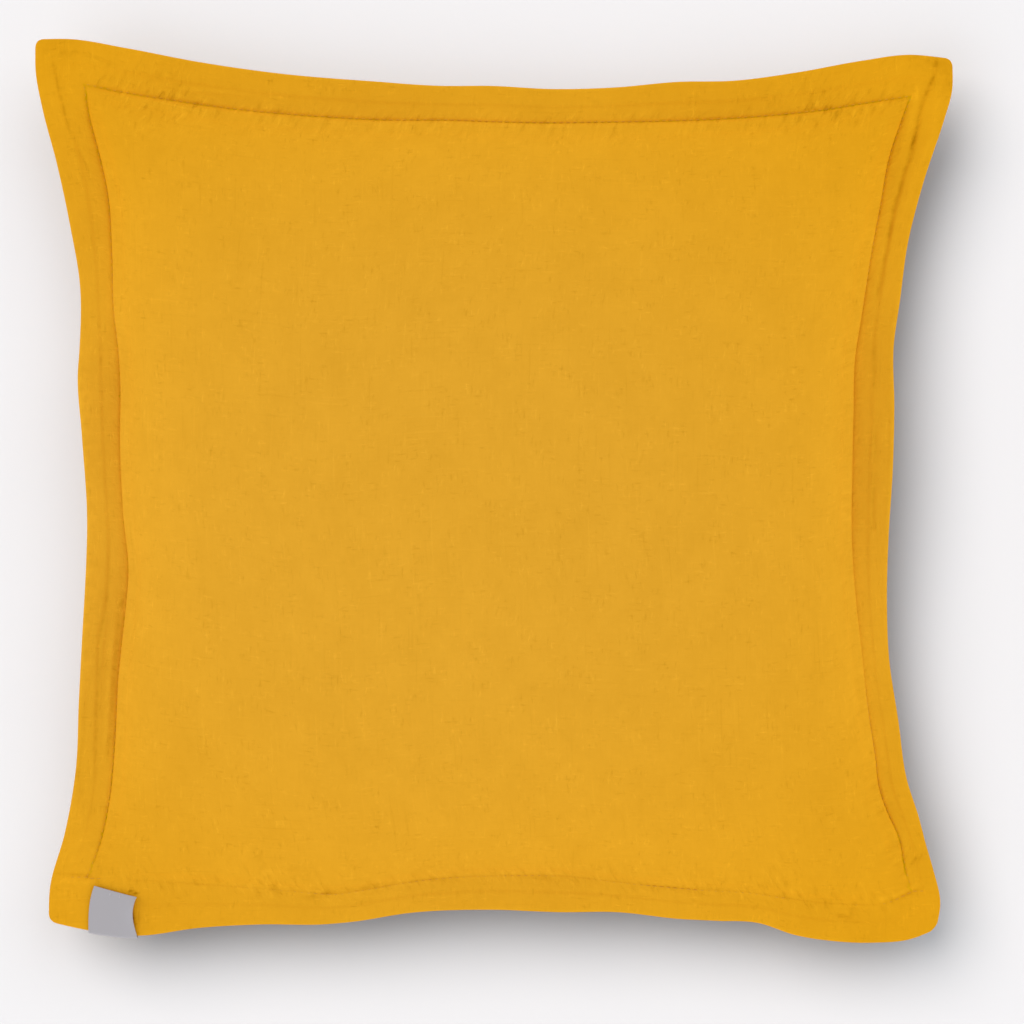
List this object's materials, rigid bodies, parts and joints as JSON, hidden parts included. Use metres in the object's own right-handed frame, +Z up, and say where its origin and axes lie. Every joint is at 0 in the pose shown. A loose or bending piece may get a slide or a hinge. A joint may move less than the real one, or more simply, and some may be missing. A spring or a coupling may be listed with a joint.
{
  "type": "cushion cover",
  "caption": "Square flanged cushion cover in crinkled cotton gauze, filled and lying on its back, with a folded label on the bottom edge.",
  "frame": {"origin": "under the middle of the outline, on the surface that the cushion lies on", "axes": "+Z up out of the front face, +Y towards the top edge, +X towards the right edge as seen from the front"},
  "size_m": [0.4589, 0.4522, 0.1247],
  "materials": {
    "cotton_gauze": "matte",
    "label_ribbon": "satin"
  },
  "bodies": {
    "root": {"cover": "cotton_gauze", "tab_label": "label_ribbon"}
  },
  "joints": []
}
